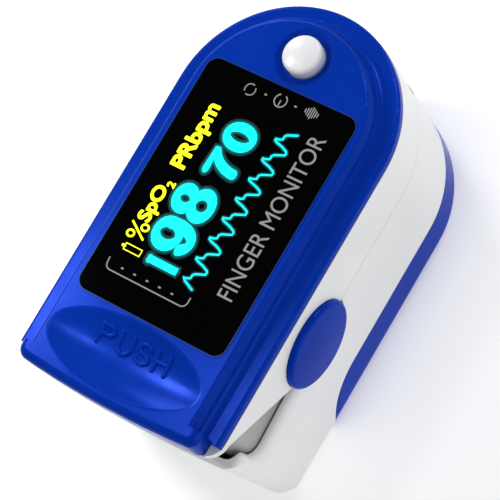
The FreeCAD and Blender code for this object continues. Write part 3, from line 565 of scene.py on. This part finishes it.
def dish_z(x, y):
    """Height of the squeeze dish at a point in plan, from the ellipsoid that scoops it."""
    depth = DISH_RISE + DISH_DEPTH
    widen = 1 / math.sqrt(1 - (DISH_RISE / depth) ** 2)
    share = ((x - DISH_CENTER[0]) / (DISH_HALF_SIZE[0] * widen)) ** 2
    share += ((y - DISH_CENTER[1]) / (DISH_HALF_SIZE[1] * widen)) ** 2
    return plateau_top + DISH_RISE - depth * math.sqrt(1 - share)


def letter_paths(letter):
    """Centre lines of a raised capital, as (right, up) with both running from 0 to 1."""
    if letter == "P":
        return [[(0, 0), (0, 1), (0.5, 1)] + arc((0.5, 0.76), (0.5, 0.24), 90, -90, 11) + [(0, 0.52)]]
    if letter == "U":
        return [[(0, 1), (0, 0.42)] + arc((0.5, 0.42), (0.5, 0.42), 180, 360, 15) + [(1, 1)]]
    if letter == "S":
        upper = arc((0.5, 0.76), (0.46, 0.24), 20, 255, 15)
        return [upper + arc((0.5, 0.26), (0.48, 0.26), 85, -160, 15)]
    return [[(0, 0), (0, 1)], [(1, 0), (1, 1)], [(0, 0.52), (1, 0.52)]]


def push_lettering(materials):
    """Raised word in the squeeze dish, following its hollow."""
    paths = []
    for index, letter in enumerate("PUSH"):
        left = PUSH_START[0] + PUSH_PITCH * index
        for path in letter_paths(letter):
            paths.append([(left + PUSH_SIZE[0] * right, PUSH_START[1] + PUSH_SIZE[1] * up, 0)
                          for right, up in resampled(path)])
    mesh = tube_mesh(paths, PUSH_RADIUS)
    for vertex in mesh.vertices:
        vertex.co.z += dish_z(vertex.co.x, vertex.co.y) - 0.02 * MM
    link("push_lettering", mesh, materials["blue"], "upper_jaw")


def resampled(path):
    """The path with extra points, so that its straight runs can follow a curved surface."""
    points = []
    for (x0, y0), (x1, y1) in zip(path, path[1:]):
        steps = max(1, round(math.hypot(x1 - x0, y1 - y0) / 0.08))
        points += [(x0 + (x1 - x0) * i / steps, y0 + (y1 - y0) * i / steps) for i in range(steps)]
    return points + [path[-1]]


def lens_edge(materials):
    """Polished edge of the window's recess: a fine rounded lip all round the lens, coloured a darker blue than the
    cover as painted shade.
    """
    half_x = (lens_high.x - lens_low.x) / 2 / MM
    mid_y = (lens_high.y + lens_low.y) / 2 / MM
    half_y = (lens_high.y - lens_low.y) / 2 / MM
    corner = LENS_CORNER
    points = []
    for sx, sy, start in ((1, 1, 0), (-1, 1, 90), (-1, -1, 180), (1, -1, 270)):
        center = (sx * (half_x - corner), mid_y + sy * (half_y - corner))
        points += arc(center, (corner, corner), start, start + 90, 7)
    stroke("lens_edge", [points], 0.16, materials["lens_edge"], closed=True)


def soft_pad(node, body, faces_up, material):
    """Silicone pad grown from its CAD solid: edges melted round, and fine grooves across the finger channel."""
    mesh = nodes[node].data.copy()
    piece = link(node + "_soft", mesh, material, body)
    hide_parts(node)
    remesh = piece.modifiers.new("melt", "REMESH")
    remesh.mode = "VOXEL"
    remesh.voxel_size = PAD_VOXEL
    smooth = piece.modifiers.new("smooth", "SMOOTH")
    smooth.factor = 0.5
    smooth.iterations = 5
    bpy.context.view_layer.update()
    shaped = bpy.data.meshes.new_from_object(piece.evaluated_get(bpy.context.evaluated_depsgraph_get()))
    piece.modifiers.clear()
    piece.data = shaped
    normals = [vertex.normal.copy() for vertex in shaped.vertices]
    for vertex, normal in zip(shaped.vertices, normals):
        toward_finger = min(max((normal.z * faces_up - 0.25) / 0.3, 0), 1)
        groove = max(math.cos(math.tau * vertex.co.y / GROOVE_PITCH), 0) ** 2
        vertex.co -= normal * (GROOVE_DEPTH * toward_finger * groove)
    for polygon in shaped.polygons:
        polygon.use_smooth = True
    return piece


def helix(center, radius, pitch, turns, start, axis):
    """Points of a coil about an axis through its centre, in millimetres; the start angle is in degrees."""
    steps = round(turns * 28)
    points = []
    for step in range(steps + 1):
        angle = math.radians(start) + math.tau * turns * step / steps
        along = pitch * turns * step / steps
        swing = (radius * math.cos(angle), radius * math.sin(angle))
        if axis == "X":
            points.append((center[0] + along, center[1] + swing[0], center[2] + swing[1]))
        else:
            points.append((center[0] + swing[0], center[1] + along, center[2] + swing[1]))
    return points


def torsion_spring(side, materials):
    """Wire spring on one hinge pin: a coil with a leg on the lower frame, and a leg under the upper deck."""
    low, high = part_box("torsion_spring_" + side)
    wire = TORSION_WIRE
    sign = -1 if side == "left" else 1
    inner_x = min(abs(low.x), abs(high.x)) / MM + wire
    outer_x = max(abs(low.x), abs(high.x)) / MM - wire
    pivot = (hinge.y / MM, hinge.z / MM)
    coil = helix((inner_x, *pivot), TORSION_RADIUS, (outer_x - inner_x) / COIL_TURNS, COIL_TURNS, -90, "X")
    foot = coil[0]
    low_leg = [(foot[0], foot[1] - 6.2, foot[2] - 3.1), foot]
    head = coil[-1]
    high_leg = [head, (head[0], head[1] - 6.6, head[2] + 1.2)]
    for name, path, body in (("coil", low_leg[:1] + coil, "lower_jaw"), ("leg", high_leg, "upper_jaw")):
        mesh = tube_mesh([[(sign * x, y, z) for x, y, z in path]], wire)
        piece = link("torsion_%s_%s" % (name, side), mesh, materials["steel"], body)
        if name == "coil":
            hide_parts("torsion_spring_" + side)


def battery_spring(materials):
    """Conical wire spring that presses on the right cell's flat end."""
    low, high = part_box("battery_spring")
    wire = BATTERY_WIRE
    center = ((low.x + high.x) / 2 / MM, low.y / MM + wire, (low.z + high.z) / 2 / MM)
    length = (high.y - low.y) / MM - 2 * wire
    coil = helix(center, BATTERY_RADIUS, length / COIL_TURNS, COIL_TURNS, 0, "Y")
    narrowed = []
    for index, (x, y, z) in enumerate(coil):
        share = 1 - 0.35 * index / len(coil)
        narrowed.append((center[0] + (x - center[0]) * share, y, center[2] + (z - center[2]) * share))
    piece = link("battery_coil", tube_mesh([narrowed], wire), materials["nickel"], "lower_jaw")
    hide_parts("battery_spring")


def strip_mesh(name, path, half_width, half_thick):
    """Flat strip that follows a path of (y, z) points, centred on it in thickness and on x = 0 in width."""
    shape = bmesh.new()
    rings = []
    for index, (y, z) in enumerate(path):
        before = path[max(index - 1, 0)]
        after = path[min(index + 1, len(path) - 1)]
        along = Vector((0, after[0] - before[0], after[1] - before[1])).normalized()
        out = Vector((0, along.z, -along.y)) * half_thick
        corners = ((-1, -1), (1, -1), (1, 1), (-1, 1))
        spots = [Vector((side * half_width, y, z)) + out * turn for side, turn in corners]
        rings.append([shape.verts.new(spot) for spot in spots])
    for first, second in zip(rings, rings[1:]):
        for corner in range(4):
            following = (corner + 1) % 4
            shape.faces.new((first[corner], first[following], second[following], second[corner]))
    shape.faces.new(rings[0])
    shape.faces.new(rings[-1])
    bmesh.ops.recalc_face_normals(shape, faces=shape.faces)
    mesh = bpy.data.meshes.new(name)
    shape.to_mesh(mesh)
    shape.free()
    return mesh


def ribbon(materials):
    """Ribbon across the hinge: back along the lower jaw, round a loose loop and along the upper jaw."""
    low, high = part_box("jaw_flex")
    half = (high.x - low.x) / 2
    thick = 0.10 * MM
    bottom = low.z + thick
    top = high.z - thick
    bend = (top - bottom) / 2
    turn_y = low.y + thick + bend
    straight = [high.y + (turn_y - high.y) * step / 16 for step in range(16)]
    path = [(y, bottom) for y in straight]
    for step in range(37):
        angle = math.radians(-90 - 5 * step)
        path.append((turn_y + bend * math.cos(angle), bottom + bend + bend * math.sin(angle)))
    path += [(y, top) for y in reversed(straight)]
    mesh = strip_mesh("jaw_ribbon", path, half, thick)
    piece = link("jaw_ribbon", mesh, materials["film"], None)
    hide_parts("jaw_flex")
    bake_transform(piece)


camera()
studio()
materials = make_materials()
finish_cad_nodes(materials)
display_graphics(materials)
push_lettering(materials)
lens_edge(materials)
torsion_spring("left", materials)
torsion_spring("right", materials)
battery_spring(materials)
ribbon(materials)
soft_pad("lower_finger_pad", "lower_jaw", 1, materials["silicone"])
soft_pad("upper_finger_pad", "upper_jaw", -1, materials["silicone"])
